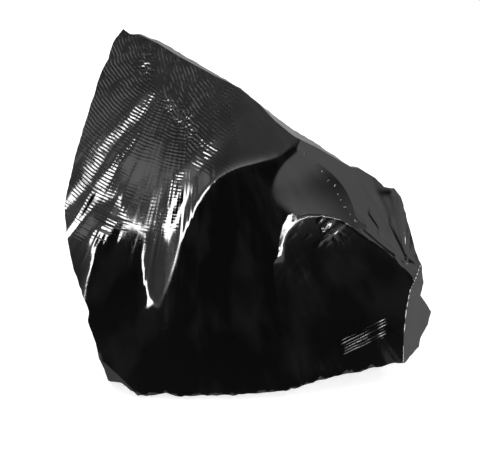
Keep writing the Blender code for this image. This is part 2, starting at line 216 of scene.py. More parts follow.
def fall_slopes(across, up):
    """The slopes of the part that falls away to the upper left, across and up."""
    torn = TORN_EDGE_SWING * wander(across * 0.9, up * 0.5, 12) * patch(across, up, *TORN_EDGE)
    depth = depth_inside(across, up, FALL_BORDER) + torn
    softness = BORDER_SOFTNESS + BORDER_SOFTENING * ease((up - 6.0) / 7.0)
    share = ease(0.5 + depth / (2.0 * softness))
    corner = ease((up + 9.0) / 4.0) * ease((-28.0 - across) / 5.0)
    corner = np.maximum(corner, ease((up + 1.0) / 17.0))
    crest = ease((across + 14.0) / 22.0) * ease((up - 2.0) / 10.0)
    turn = FINGER_DIRECTION + (CORNER_DIRECTION - FINGER_DIRECTION) * corner + CREST_TURN * crest
    rolling = ease((across + 17.0) / 4.0) * ease((up + 2.0) / 5.0)
    turn = turn + ROLLING_TURN * (1.0 - share) * rolling
    mottled = ease((6.0 - across) / 14.0) * ease((up + 6.0) / 8.0)
    steep = FALL_SLOPE * share * (1.0 + MOTTLING * mottled * wander(across * 0.42, up * 0.42, 9))
    distance, angle = from_origin(across, up, LEFT_ORIGIN)
    streaks = 1.0 + STREAKING * wander(angle * 42.0, distance * 0.16, 11)
    for line, half_width, lost, sharpness in FLUTES:
        apart = beside_path(across, up, line)
        steep *= 1.0 - lost * streaks * np.exp(-(apart / half_width) ** sharpness)
    return -steep * np.cos(np.radians(turn)), -steep * np.sin(np.radians(turn))


def shoulder_slopes(across, up):
    """The slopes of the shoulder, across and up."""
    share = ease(0.5 + depth_inside(across, up, SHOULDER_BORDER) / SHOULDER_SOFTNESS)
    foot, head = SHOULDER_DIRECTION
    turn = np.radians(foot + (head - foot) * ease((up + 1.0) / 15.0))
    near, far = SHOULDER_SLOPE
    steep = share * (near + (far - near) * ease((across - 5.0) / 20.0))
    return -steep * np.cos(turn), -steep * np.sin(turn)


def wanted_slopes(across, up):
    """The slopes that the main face should have, across and up."""
    fall_across, fall_up = fall_slopes(across, up)
    shoulder_across, shoulder_up = shoulder_slopes(across, up)
    return fall_across + shoulder_across, fall_up + shoulder_up


def heights_from_slopes(slope_across, slope_up, step, blur=0.0):
    """The heights whose slopes come closest to the wanted ones."""
    rows, columns = slope_across.shape
    wide = np.concatenate([slope_across, -slope_across[:, ::-1]], 1)
    wide = np.fft.fft2(np.concatenate([wide, wide[::-1]], 0))
    tall = np.concatenate([slope_up, slope_up[:, ::-1]], 1)
    tall = np.fft.fft2(np.concatenate([tall, -tall[::-1]], 0))
    across_rate = 2.0 * np.pi * np.fft.fftfreq(2 * columns, step)[None, :]
    up_rate = 2.0 * np.pi * np.fft.fftfreq(2 * rows, step)[:, None]
    size = across_rate ** 2 + up_rate ** 2
    size[0, 0] = 1.0
    heights = -1j * (across_rate * wide + up_rate * tall) / size * np.exp(-0.5 * size * blur ** 2)
    heights[0, 0] = 0.0
    return np.real(np.fft.ifft2(heights))[:rows, :columns]


def height_field():
    """The main face laid down by its slopes: the heights that come closest to them."""
    places = np.arange(-FIELD_REACH, FIELD_REACH + 1e-9, FIELD_STEP)
    across, up = np.meshgrid(places, places)
    shown = inside_outline(across, up, SHOWN_BORDER)
    wanted_across, wanted_up = wanted_slopes(across, up)
    slope_across, slope_up = wanted_across, wanted_up
    for _ in range(FIELD_ROUNDS):
        heights = heights_from_slopes(slope_across, slope_up, FIELD_STEP)
        found_up, found_across = np.gradient(heights, FIELD_STEP)
        slope_across = np.where(shown, wanted_across, found_across)
        slope_up = np.where(shown, wanted_up, found_up)
    return heights_from_slopes(slope_across, slope_up, FIELD_STEP, FIELD_BLUR)


FALL_HEIGHTS = height_field()


def smooth_weights(share):
    """Weights of four heights in a row for a smooth curve through the middle two."""
    return (
        (-share + 2.0 * share ** 2 - share ** 3) / 2.0,
        (2.0 - 5.0 * share ** 2 + 3.0 * share ** 3) / 2.0,
        (share + 4.0 * share ** 2 - 3.0 * share ** 3) / 2.0,
        (-share ** 2 + share ** 3) / 2.0,
    )


def fall_height(across, up):
    """Height of the falling part of the main face, read smoothly from its field."""
    last = FALL_HEIGHTS.shape[0] - 1
    column = np.clip((across + FIELD_REACH) / FIELD_STEP, 0.0, last - 1e-3)
    row = np.clip((up + FIELD_REACH) / FIELD_STEP, 0.0, last - 1e-3)
    left = column.astype(int)
    below = row.astype(int)
    height = np.zeros(across.shape)
    for i, weight_across in enumerate(smooth_weights(column - left)):
        for j, weight_up in enumerate(smooth_weights(row - below)):
            held_row = np.clip(below + j - 1, 0, last)
            held_column = np.clip(left + i - 1, 0, last)
            height += weight_across * weight_up * FALL_HEIGHTS[held_row, held_column]
    return height


CROWN_LEVEL = fall_height(np.array([0.0]), np.array([-8.0]))[0]
FLOW_TURN = math.radians(-35.0)  # the way that the face bends
CROWN_RADIUS = 190.0             # its bend to the side, and where that starts
CROWN_START = -6.0
FOOT_RADIUS = 190.0              # its bend downwards, and where that starts
FOOT_START = 12.0


def main_form(across, up):
    """Height of the main face without its ripples."""
    side = across * math.cos(FLOW_TURN) + up * math.sin(FLOW_TURN)
    flow = across * math.sin(FLOW_TURN) - up * math.cos(FLOW_TURN)
    crown = np.clip(side - CROWN_START, 0.0, None) ** 2 / (2.0 * CROWN_RADIUS)
    foot = np.clip(flow - FOOT_START, 0.0, None) ** 2 / (2.0 * FOOT_RADIUS)
    return fall_height(across, up) - CROWN_LEVEL - crown - foot


# The line where the two sets of ripples meet, from its lower end up
MEETING_LINE = [
    (-17.5, 3.0), (-15.5, 13.0), (-15.2, 19.2), (-16.5, 21.5), (-19.5, 24.2),
    (-20.2, 27.5), (-24.0, 33.0), (-25.8, 38.8), (-27.0, 43.0),
]
LEFT_SPACING = 0.86
RIGHT_SPACING = 0.92
RIGHT_REACH = 41.0               # how far the right set spreads
# Where ripples are steeper or calmer: middle and half sizes
STEEPER_LEFT = ((-35.0, 31.0), 6.0, 7.0)
STEEPER_RIGHT = ((-12.0, 27.0), 7.0, 7.0)
CALMER = ((-26.5, 8.0), 6.0, 7.0)
# Longer waves above the left end of the black part
WAVES = ((-32.5, -4.6), 6.6, 3.8)
WAVE_SPACING = 2.3
WAVE_SLOPE = 0.10
# Where the fine ridges along the fracture are torn: strength, middle and half sizes
TORN = [
    (1.3, (-33.0, -8.2), 8.0, 3.0), (0.8, (-39.5, -13.0), 2.6, 8.0),
    (0.9, (-17.5, 2.5), 3.2, 7.0), (0.4, (-24.0, -18.0), 3.0, 5.0),
]
# Where the two sets tore small pits along the line where they meet
PITTED = [
    ((-25.5, 36.5), 1.7, 3.4), ((-16.4, 23.4), 2.2, 2.2), ((-14.4, 19.4), 1.4, 2.4),
    ((-19.5, 26.5), 1.4, 1.6), ((-11.5, 17.0), 1.2, 1.2),
]
PIT_DEPTH = 0.17


def ripple_set(across, up, origin, spacing, seed):
    """One set of fracture ripples of unit slope, strong in some places and faint in others."""
    distance, angle = from_origin(across, up, origin)
    drift = 1.1 * wander(distance * 0.10, angle * 9.0, seed)
    drift += 0.45 * wander(distance * 0.50, angle * 24.0, seed + 1)
    bands = 0.70 + 0.60 * wander(distance * 0.55, angle * 15.0, seed + 2)
    bands += 0.70 * wander(distance * 1.3, angle * 34.0, seed + 3)
    phase = 2.0 * np.pi * distance / spacing + 2.0 * drift
    height = spacing / (2.0 * np.pi)
    return height * np.clip(bands, 0.08, None) * (np.sin(phase) + 0.16 * np.sin(2.0 * phase + 0.9))


def near_flutes(across, up, chosen):
    """How close a place is to the chosen flutes, from 0 to 1."""
    close = np.zeros(across.shape)
    for index in chosen:
        line, half_width = FLUTES[index][:2]
        apart = beside_path(across, up, line)
        close = np.maximum(close, np.exp(-(apart / (1.5 * half_width)) ** 2))
    return close


def main_ripples(across, up):
    """The ripples of the main face."""
    falling = ease(0.5 + depth_inside(across, up, FALL_BORDER) / 3.0)
    right_side = ease(0.5 + beside_line(across, up, MEETING_LINE) / 1.6)
    steep = 0.13 + 0.16 * near_flutes(across, up, LEFT_FLUTES)
    steep += 0.05 * patch(across, up, *STEEPER_LEFT)
    steep *= 1.0 - 0.75 * patch(across, up, *CALMER)
    steep *= 1.0 - 0.7 * near_flutes(across, up, CALM_FLUTES)
    steep *= 1.0 - 0.45 * ease((-up - 2.0) / 8.0)
    left = steep * ripple_set(across, up, LEFT_ORIGIN, LEFT_SPACING, 1)
    steep = 0.10 + 0.20 * near_flutes(across, up, RIGHT_FLUTES)
    steep += 0.10 * patch(across, up, *STEEPER_RIGHT)
    far = from_origin(across, up, RIGHT_ORIGIN)[0]
    steep = steep * ease((RIGHT_REACH - far) / 6.0) * ease((far - 9.0) / 6.0)
    steep = steep * ease((0.15 * up - 3.5 - across) / 4.0)
    right = steep * ripple_set(across, up, RIGHT_ORIGIN, RIGHT_SPACING, 3)
    return falling * (left * (1.0 - right_side) + right * right_side)


def main_waves(across, up):
    """A few longer waves."""
    distance, angle = from_origin(across, up, LEFT_ORIGIN)
    drift = 1.6 * wander(angle * 7.0, distance * 0.15, 31)
    wave = np.sin(2.0 * np.pi * distance / WAVE_SPACING + drift)
    sharp = wave + 0.25 * np.sin(4.0 * np.pi * distance / WAVE_SPACING + 2.0 * drift + 1.2)
    return WAVE_SLOPE * WAVE_SPACING / (2.0 * np.pi) * sharp * patch(across, up, *WAVES)


def main_streaks(across, up):
    """Fine ridges that run the way the main fracture went."""
    distance, angle = from_origin(across, up, LEFT_ORIGIN)
    fine = 0.013 * wander(angle * 95.0, distance * 0.12, 11)
    broad = 0.020 * wander(angle * 42.0, distance * 0.05, 13)
    torn = sum(strength * patch(across, up, *place) for strength, *place in TORN)
    return (fine * (0.6 + 2.2 * torn) + broad * (0.8 + 1.6 * torn)) * ease((distance - 14.0) / 16.0)


def main_pits(across, up):
    """Small torn pits."""
    torn = sum(patch(across, up, *place) for place in PITTED)
    rough = wander(across * 1.3, up * 1.3, 51) + 0.5 * wander(across * 2.6, up * 2.6, 52)
    return PIT_DEPTH * np.clip(torn, 0.0, 1.0) * np.clip(np.abs(rough) - 0.25, 0.0, None)


# -------------------- the other faces

# Curved breaks: a place across and up, the height there, how it slopes across and up,
# and how it bends across, twists and bends up
FLANK = (26.0, 4.0, -7.68, -0.461, -0.097, 0.0029, -0.0011, 0.0039)
SCAR_FLOOR = (25.0, -17.0, -6.45, -0.246, -0.028, 0.0013, -0.0050, -0.0007)
CORNER_BREAK = (-31.5, -41.0, -5.15, 0.67, 0.74, 0.0, 0.0, 0.0)

# The narrow steep break along the upper edge: the edge, and the width at places across
TOP_EDGE = [
    (-40.0, 60.0), (-31.0, 47.0), (-28.5, 44.9), (-22.0, 42.7), (-12.5, 37.1), (-2.0, 31.0),
    (6.0, 24.6), (11.5, 20.5), (17.5, 16.9), (25.6, 11.4), (28.5, 10.8),
]
TOP_EDGE_WIDTHS = [
    (-28.0, 0.0), (-22.0, 0.75), (-17.0, 0.85), (-8.0, 0.5), (-4.0, 0.1), (3.0, 0.15),
    (7.0, 1.0), (12.0, 1.3), (18.0, 0.7), (24.0, 0.25), (28.5, 0.0),
]
TOP_EDGE_SLOPE = 3.3


def curved_face(shape, across, up):
    """Height of a gently curved break."""
    place_across, place_up, level, slope_across, slope_up, bend_across, twist, bend_up = shape
    side = across - place_across
    rise = up - place_up
    bend = bend_across * side ** 2 + twist * side * rise + bend_up * rise ** 2
    return level + slope_across * side + slope_up * rise + bend


def main_face(across, up):
    """The main face with its ripples."""
    fine = main_ripples(across, up) + main_waves(across, up) + main_streaks(across, up)
    return main_form(across, up) + fine - main_pits(across, up)


def edge_face(across, up):
    """Height of the steep break along the upper edge."""
    apart = beside_path(across, up, TOP_EDGE)
    inner = np.where(up > read_off(across, TOP_EDGE), -apart, apart)
    behind = np.minimum(main_form(across, up), curved_face(FLANK, across, up))
    return behind + TOP_EDGE_SLOPE * (inner - read_off(across, TOP_EDGE_WIDTHS))


# The edge of the scar's floor
SCAR_BORDER = [
    (13.0, -1.75), (15.5, -1.0), (19.25, -1.0), (23.0, -1.9), (26.0, -3.75), (29.75, -6.5),
    (33.75, -9.0), (38.75, -12.75), (41.5, -16.5), (43.0, -22.0), (40.5, -26.5),
    (36.25, -29.0), (29.25, -32.25), (23.0, -33.5), (19.25, -33.25), (15.5, -32.6),
    (11.25, -32.0), (9.0, -30.25), (7.9, -27.5), (7.6, -24.0), (8.25, -20.0),
    (8.95, -15.75), (9.1, -12.5), (8.75, -10.5), (8.75, -8.25), (9.35, -6.0), (10.7, -3.75),
]
# How steeply the lip rolls up from there: everywhere, and what is added at the bright
# crescent at the left, at the lower left and along the top and right
LIP_SLOPE = 0.03
CRESCENT_SLOPE = 0.43
LOWER_LEFT_SLOPE = 0.47
UPPER_SLOPE = 1.3
CRESCENT_SWING = 0.18            # share by which the crescent's slope varies
LIP_SOFTNESS = 0.12
# Marks in the scar, each with its middle and half sizes
SCAR_ORIGIN = (24.5, -27.0)      # where its rings spread from
SCAR_RING_SPACING = 2.1
RINGED = ((17.5, -18.0), 8.0, 7.0)
SWOLLEN = ((19.0, -18.0), 9.0, 8.0)
RIDGED = ((17.0, -4.4), 4.6, 2.6)
ROUGHENED = ((21.7, -6.3), 2.4, 1.8)


def scar_ripples(across, up):
    """Faint rings in the scar, and short torn ridges under its upper rim."""
    distance, angle = from_origin(across, up, SCAR_ORIGIN)
    drift = 1.3 * wander(distance * 0.2, angle * 2.5, 33)
    rings = 0.012 * np.sin(2.0 * np.pi * distance / SCAR_RING_SPACING + drift)
    rings *= patch(across, up, *RINGED)
    rings += 0.05 * wander(distance * 0.45, angle * 2.2, 34) * patch(across, up, *SWOLLEN)
    slant = across * 0.64 - up * 0.77
    run = across * 0.77 + up * 0.64
    ridges = wander(slant * 0.85, run * 0.22, 35) + 0.5 * wander(slant * 1.8, run * 0.5, 36)
    ridges = np.clip(ridges - 0.05, 0.0, None) * patch(across, up, *RIDGED)
    rough = np.abs(wander(across * 1.4, up * 1.4, 37)) * patch(across, up, *ROUGHENED)
    return rings + 0.85 * ridges + 0.13 * rough


def scar_face(across, up):
    """Height of the scar's floor and its rolled lip."""
    outside = -depth_inside(across, up, SCAR_BORDER)
    crescent = ease((up + 13.2) / 4.0) * ease((13.3 - across) / 2.4)
    lower_left = ease((-up - 26.0) / 2.0) * ease((14.0 - across) / 4.0)
    upper = ease((across - 11.0) / 2.4) * ease((up + 24.0) / 4.0)
    slope = LIP_SLOPE + CRESCENT_SLOPE * crescent
    slope = slope + LOWER_LEFT_SLOPE * lower_left + UPPER_SLOPE * upper
    slope *= 1.0 + CRESCENT_SWING * crescent * wander(across * 0.7, up * 1.1, 40)
    lip = slope * LIP_SOFTNESS * np.logaddexp(0.0, outside / LIP_SOFTNESS)
    return curved_face(SCAR_FLOOR, across, up) + lip + scar_ripples(across, up)


IMPACT = (40.0, -12.6)           # where the flank was struck
# The shattered place there, and a low bump further up: middle and half sizes
SHATTERED = ((39.8, -12.2), 1.8, 1.4)
FLANK_BUMP = ((36.0, 5.2), 2.4, 1.1)
# Cracks that run up the flank from there, and how high one side of a crack stands
CRACK_STEP = 0.10
CRACKS = [
    [(39.4, -11.2), (37.4, -7.0), (35.3, -3.0)], [(32.5, -3.9), (30.3, -0.6)],
    [(36.5, -10.8), (33.0, -8.0), (29.0, -4.6)],
]


def flank_face(across, up):
    """Height of the flank, with the ridges that spread from where it was struck."""
    distance, angle = from_origin(across, up, IMPACT)
    ridges = 0.07 * wander(angle * 5.5, distance * 0.05, 41)
    ridges = ridges + 0.035 * wander(angle * 14.0, distance * 0.08, 42)
    near = np.exp(-(distance / 9.0) ** 2)
    ridges += near * 0.05 * wander(angle * 30.0, distance * 0.3, 43)
    far = ease((distance - 1.0) / 6.0)
    chips = np.abs(wander(across * 1.1, up * 1.1, 44)) * patch(across, up, *SHATTERED)
    bump = 0.35 * patch(across, up, *FLANK_BUMP)
    ledges = sum(
        ease(0.5 + beside_line(across, up, line) / 0.5)
        * np.exp(-(beside_path(across, up, line) / 1.5) ** 2)
        for line in CRACKS
    )
    return curved_face(FLANK, across, up) + ridges * far - 0.3 * chips + bump + CRACK_STEP * ledges


# The near edge of the right break, from its lower end up
RIGHT_EDGE = [
    (38.7, -45.0), (38.75, -37.5), (39.0, -30.25), (39.5, -24.75), (40.5, -19.5),
    (41.75, -17.0), (43.0, -13.5), (46.0, -6.0),
]
RIGHT_EDGE_STEPS = 79
RIGHT_SLOPE = 0.95
RIGHT_LIP_SLOPE = 0.66           # it starts less steeply,
RIGHT_LIP_WIDTH = 0.10           # over this width


def right_face(across, up):
    """Height of the right break, which falls away steeply past its near edge."""
    ups = np.linspace(RIGHT_EDGE[0][1], RIGHT_EDGE[-1][1], RIGHT_EDGE_STEPS)
    edges = np.interp(ups, [point[1] for point in RIGHT_EDGE], [point[0] for point in RIGHT_EDGE])
    shown = np.minimum(main_form(edges, ups), scar_face(edges, ups))
    level = np.interp(up, ups, np.minimum(shown, flank_face(edges, ups)))
    past = across - np.interp(up, ups, edges)
    steep = RIGHT_SLOPE * past - (RIGHT_SLOPE - RIGHT_LIP_SLOPE) * RIGHT_LIP_WIDTH
    drop = 0.10 * wander(across * 0.35, up * 0.10, 45) * ease((past - 1.0) / 2.0)
    return level - np.maximum(RIGHT_LIP_SLOPE * past, steep) - drop


# Small chips along the ridge between the shoulder and the flank: place and size
RIDGE_CHIPS = [
    (14.4, 14.6, 0.5), (16.6, 12.3, 0.35), (18.6, 10.2, 0.45), (20.3, 7.8, 0.8), (21.9, 6.6, 0.6),
    (22.6, 4.4, 0.4), (23.2, 3.1, 0.5), (24.4, 1.2, 0.6), (25.6, -0.6, 0.35), (27.0, -2.2, 0.6),
    (28.2, -4.4, 0.5), (12.7, 16.1, 0.4),
]
FOOT_CHIP_SLOPE = 1.1            # of the small breaks along the lower edge
FOOT_CHIP_WIDTH = 0.30
# The torn parallel ridges at the scar's lower right, along this line
HACKLE_LINE = [(21.5, -35.0), (29.0, -31.5), (36.6, -27.4)]
HACKLE_SPACING = 0.66
HACKLE_HEIGHT = 0.10
HACKLE_HALF_WIDTH = 2.1          # of the band of them
HACKLE_HALF_LENGTH = 4.5


def foot_face(across, up):
    """Small chips along the lower edge."""
    inside = depth_inside(across, up, OUTLINE)
    swing = 0.75 * wander(across * 0.55, up * 0.0, 71) + 0.45 * wander(across * 1.5, up * 0.0, 72)
    width = FOOT_CHIP_WIDTH + 0.75 * np.clip(swing, -0.55, None)
    flakes = 0.10 * wander(across * 1.2, up * 0.5, 73)
    return main_form(across, up) + FOOT_CHIP_SLOPE * (inside - width) + flakes


def chip_cutter():
    """Small rough balls that nick the ridge."""
    work = bmesh.new()
    flat = Matrix.Diagonal((1.0, 0.7, 0.6, 1.0))
    for number, (across, up, size) in enumerate(RIDGE_CHIPS):
        place = np.array([across]), np.array([up])
        level = float(np.minimum(main_form(*place), curved_face(FLANK, *place))[0])
        turn = Matrix.Rotation(1.7 * number, 4, (0.3, 0.8, 0.5)) @ flat
        spot = Matrix.Translation((across, up, level + 0.45 * size)) @ turn
        bmesh.ops.create_icosphere(work, subdivisions=2, radius=size, matrix=spot)
    return marked_object("ridge_chips", work)


def hackle_face(across, up):
    """Torn parallel ridges along the lower right rim of the scar."""
    apart = beside_path(across, up, HACKLE_LINE)
    side = np.where(up < read_off(across, HACKLE_LINE), -apart, apart)
    drift = 1.2 * wander(across * 0.18, side * 0.2, 75)
    torn = np.sin(2.0 * np.pi * side / HACKLE_SPACING + 2.0 * drift)
    torn = torn + 0.9 * wander(side * 1.9, across * 0.22, 76)
    torn *= 0.80 + 0.5 * wander(across * 0.35, side * 0.6, 78)
    shown = np.minimum(main_form(across, up), scar_face(across, up))
    beyond = np.clip(apart - HACKLE_HALF_WIDTH, 0.0, None)
    ends = np.clip(np.abs(across - HACKLE_LINE[1][0]) - HACKLE_HALF_LENGTH, 0.0, None)
    return shown + HACKLE_HEIGHT * torn + 0.01 + 0.5 * beyond + 0.06 * ends ** 1.5


# -------------------- cutters

def face_outwards(work):
    """Turn every face of a closed mesh outwards."""
    bmesh.ops.recalc_face_normals(work, faces=work.faces[:])
    if work.calc_volume(signed=True) < 0.0:
        bmesh.ops.reverse_faces(work, faces=work.faces[:])


def marked_object(name, work):
    """Make an object of a closed bmesh, with a material of its own to tell its faces by."""
    face_outwards(work)
    mesh = bpy.data.meshes.new(name)
    work.to_mesh(mesh)
    work.free()
    mesh.materials.append(bpy.data.materials.new(name))
    thing = bpy.data.objects.new(name, mesh)
    bpy.context.scene.collection.objects.link(thing)
    return thing


def close_towards(sheet, direction, distance):
    """Close an open sheet with walls along its rim and a flat lid."""
    rim = [edge for edge in sheet.edges if edge.is_boundary]
    drawn = bmesh.ops.extrude_edge_only(sheet, edges=rim)["geom"]
    lifted = [part for part in drawn if isinstance(part, bmesh.types.BMVert)]
    lid = [part for part in drawn if isinstance(part, bmesh.types.BMEdge) and part.is_boundary]
    level = max(vertex.co.dot(direction) for vertex in sheet.verts) + distance
    for vertex in lifted:
        vertex.co += direction * (level - vertex.co.dot(direction))
    bmesh.ops.contextual_create(sheet, geom=lid)


def set_heights(sheet, height):
    """Move the points of a flat sheet to the height of a face."""
    across = np.array([vertex.co.x for vertex in sheet.verts])
    up = np.array([vertex.co.y for vertex in sheet.verts])
    for vertex, level in zip(sheet.verts, height(across, up)):
        vertex.co.z = level


def square_sheet(middle, reach, spacing, share=1.0):
    """A flat sheet of quads, square or with only a share of its reach upwards."""
    sheet = bmesh.new()
    cuts = int(reach / spacing)
    rows = int(cuts * share) + 3
    bmesh.ops.create_grid(sheet, x_segments=cuts, y_segments=rows, size=0.5 * reach)
    bmesh.ops.scale(sheet, vec=(1.0, share, 1.0), verts=sheet.verts[:])
    bmesh.ops.translate(sheet, vec=(middle[0], middle[1], 0.0), verts=sheet.verts[:])
    return sheet


# Spacing of the main sheet, whose rings follow the ripples: the number of rings up to a
# distance from the origin, and of rays up to an angle from straight down
RINGS = [(0, 6.5), (320, 62.0), (346, 75.0), (376, 108.0)]
RAYS = [(0, -98.0), (98, -33.0), (240, 0.0), (272, 16.0), (308, 58.0)]


def fan_sheet(origin):
    """A flat sheet of rings and rays round an origin."""
    sheet = bmesh.new()
    rays = RAYS[-1][0]
    rings = RINGS[-1][0]
    bmesh.ops.create_grid(sheet, x_segments=rays, y_segments=rings, size=0.5)
    for vertex in sheet.verts:
        angle = math.radians(read_off((vertex.co.x + 0.5) * rays, RAYS))
        distance = float(read_off((vertex.co.y + 0.5) * rings, RINGS))
        vertex.co.x = origin[0] + distance * math.sin(angle)
        vertex.co.y = origin[1] - distance * math.cos(angle)
    return sheet


TOWARDS_EYE = Vector((0.0, 0.0, 1.0))
CUTTER_DEPTH = 30.0


def front_cutter(name, sheet, height):
    """A closed cutter in front of a face."""
    set_heights(sheet, height)
    close_towards(sheet, TOWARDS_EYE, CUTTER_DEPTH)
    return marked_object(name, sheet)


# Broad scars behind the outline: two ends of the struck edge (across, up, towards the
# eye), how far the scar leans in behind that edge, its depth, and how far behind the
# edge it is deepest
SIDE_SCARS = [
    ("upper_left", (-32.0, 47.0, -21.5), (-46.4, 0.0, -11.0), 34.0, 4.0, 26.0),
    ("lower_left", (-46.4, 2.0, -11.5), (-34.0, -45.0, -10.0), 28.0, 5.0, 24.0),
    ("top_slope", (-28.0, 46.6, -21.0), (13.0, 20.6, -6.5), 44.0, 4.0, 24.0),
    ("right_slope", (7.0, 24.0, -6.0), (36.0, 6.6, -15.5), 50.0, 3.0, 20.0),
    ("right_end", (36.0, 7.4, -14.5), (44.4, -16.0, -15.5), 24.0, 3.0, 20.0),
    ("lower_right", (46.6, -23.0, -16.0), (38.0, -40.0, -13.0), 30.0, 3.0, 18.0),
]
# Scars across the hidden back: middle of the scar, the way it faces, reach and depth
BACK_SCARS = [
    ("back_left", (-22.0, 4.0, -42.0), (-0.62, 0.10, -0.78), 46.0, 5.0),
    ("back_right", (20.0, -8.0, -44.0), (0.50, -0.02, -0.86), 44.0, 4.0),
    ("back_top", (-8.0, 28.0, -39.0), (-0.05, 0.72, -0.70), 40.0, 4.5),
    ("back_foot", (0.0, -20.0, -50.0), (0.04, -0.40, -0.92), 30.0, 2.5),
]
DISH_REACH = 130.0               # size and spacing of the sheet for such a scar
DISH_SPACING = 1.3
DISH_RIPPLE = 0.07               # height of its ripples and streaks
DISH_RIPPLE_REACH = 0.95         # distance in which its ripples turn by a radian


def dish_cutter(name, place, half_length, depth, deepest, seed):
    """A cutter whose inner side is a broad shallow dish with soft ripples."""
    sheet = square_sheet((0.0, deepest), DISH_REACH, DISH_SPACING)

    def dish(along, behind):
        shape = 1.0 - (along / half_length) ** 2 - ((behind - deepest) / deepest) ** 2
        ring = np.hypot(along - 0.3 * half_length, behind + 6.0)
        swell = np.sin(ring / DISH_RIPPLE_REACH + 2.0 * wander(along / 14.0, behind / 14.0, seed))
        streak = wander(np.arctan2(along, behind + 14.0) * 26.0, ring * 0.05, seed + 1)
        return -depth * shape + DISH_RIPPLE * swell * ease(ring / 30.0) + DISH_RIPPLE * streak

    set_heights(sheet, dish)
    close_towards(sheet, TOWARDS_EYE, DISH_REACH)
    sheet.transform(place)
    return marked_object(name, sheet)


def side_scar(name, start, end, lean_in, depth, deepest, seed):
    """A scar that starts at an edge of the outline and leans in behind it."""
    first = Vector(start)
    last = Vector(end)
    along = (last - first).normalized()
    inward = Vector((-along.y, along.x, 0.0)).normalized()
    middle = (first + last) / 2.0
    if inward.dot(middle) > 0.0:
        inward.negate()
    lean = math.radians(lean_in)
    behind = Vector((0.0, 0.0, -math.cos(lean))) + inward * math.sin(lean)
    behind = (behind - along * behind.dot(along)).normalized()
    outward = along.cross(behind).normalized()
    if outward.dot(inward) > 0.0:
        outward.negate()
        along.negate()
    axes = Matrix((along, behind, outward)).transposed().to_4x4()
    place = Matrix.Translation(middle) @ axes
    return dish_cutter(name, place, 0.5 * (last - first).length, depth, deepest, seed)


def back_scar(name, middle, facing, reach, depth, seed):
    """A scar across the back."""
    axes = Vector(facing).to_track_quat("Z", "Y").to_matrix().to_4x4()
    place = Matrix.Translation(Vector(middle)) @ axes @ Matrix.Translation((0.0, -reach, 0.0))
    return dish_cutter(name, place, reach, depth, reach, seed)


# -------------------- the stone

def fine_outline():
    """The outline in short steps that wander a little."""
    points = []
    run = 0.0
    row = np.array([0.5])
    for (x1, y1), (x2, y2) in zip(OUTLINE, OUTLINE[1:] + OUTLINE[:1]):
        length = math.hypot(x2 - x1, y2 - y1)
        steps = max(1, round(length / OUTLINE_STEP))
        rougher = FOOT_ROUGHENING if y1 < FOOT_LEVEL else 1.0
        for step in range(steps):
            share = step / steps
            place = np.array([run + share * length])
            bump = wander(place * 0.9, row, 21) + 0.6 * wander(place * 0.35, row, 22)
            shift = OUTLINE_ROUGHNESS * float(bump[0]) * rougher
            points.append((x1 + (x2 - x1) * share - (y2 - y1) / length * shift,
                           y1 + (y2 - y1) * share + (x2 - x1) / length * shift))
        run += length
    return points


def rough_block():
    """The block before it is struck: the outline drawn out from front to back."""
    block = bmesh.new()
    corners = [block.verts.new((x, y, BLOCK_BACK)) for x, y in fine_outline()]
    block.faces.new(corners)
    close_towards(block, TOWARDS_EYE, BLOCK_FRONT - BLOCK_BACK)
    return marked_object("struck_wall", block)


def strike(stone, cutters):
    """Take away what the cutters cover, and remove them."""
    for cutter in cutters:
        cut = stone.modifiers.new(cutter.name, "BOOLEAN")
        cut.operation = "DIFFERENCE"
        cut.solver = "EXACT"
        cut.material_mode = "TRANSFER"
        cut.object = cutter
    depsgraph = bpy.context.evaluated_depsgraph_get()
    struck = bpy.data.meshes.new_from_object(stone.evaluated_get(depsgraph))
    stone.modifiers.clear()
    stone.data = struck
    for cutter in cutters:
        bpy.data.objects.remove(cutter)


def cut_base(work, level):
    """Cut the stone off flat at a level and close the cut."""
    everything = work.verts[:] + work.edges[:] + work.faces[:]
    spot = Vector((0.0, 0.0, level))
    cut = bmesh.ops.bisect_plane(
        work, geom=everything, plane_co=spot, plane_no=(0.0, 0.0, -1.0), clear_outer=True)
    rim = [part for part in cut["geom_cut"] if isinstance(part, bmesh.types.BMEdge)]
    filled = bmesh.ops.triangle_fill(work, use_beauty=True, edges=rim)["geom"]
    return [part for part in filled if isinstance(part, bmesh.types.BMFace)]


SHARP_TURN = math.radians(32.0)


def sharpen_borders(work):
    """Keep the edges between two fractures sharp and everything inside one smooth."""
    for face in work.faces:
        face.smooth = True
    for edge in work.edges:
        sides = edge.link_faces
        between = len(sides) == 2 and sides[0].material_index != sides[1].material_index
        edge.smooth = not (between or edge.calc_face_angle(0.0) > SHARP_TURN)


def settle(stone):
    """Draw the struck stone to the eye, lean it back and set it on its base."""
    work = bmesh.new()
    work.from_mesh(stone.data)
    bmesh.ops.triangulate(work, faces=work.faces[:])
    flow = work.loops.layers.uv.new("face_plan")
    for face in work.faces:
        for loop in face.loops:
            loop[flow].uv = (loop.vert.co.x, loop.vert.co.y)
    for vertex in work.verts:
        nearness = 1.0 - vertex.co.z / EYE_DISTANCE
        vertex.co.x *= nearness
        vertex.co.y *= nearness
    work.transform(LEANT)
    base_mark = len(stone.data.materials)
    for face in cut_base(work, BASE_HEIGHT):
        face.material_index = base_mark
    to_base = Matrix.Translation((BASE_SHIFT[0], BASE_SHIFT[1], -BASE_HEIGHT))
    work.transform(Matrix.Scale(MILLIMETRE, 4) @ to_base)
    face_outwards(work)
    sharpen_borders(work)
    for face in work.faces:
        face.material_index = 0
    work.to_mesh(stone.data)
    work.free()


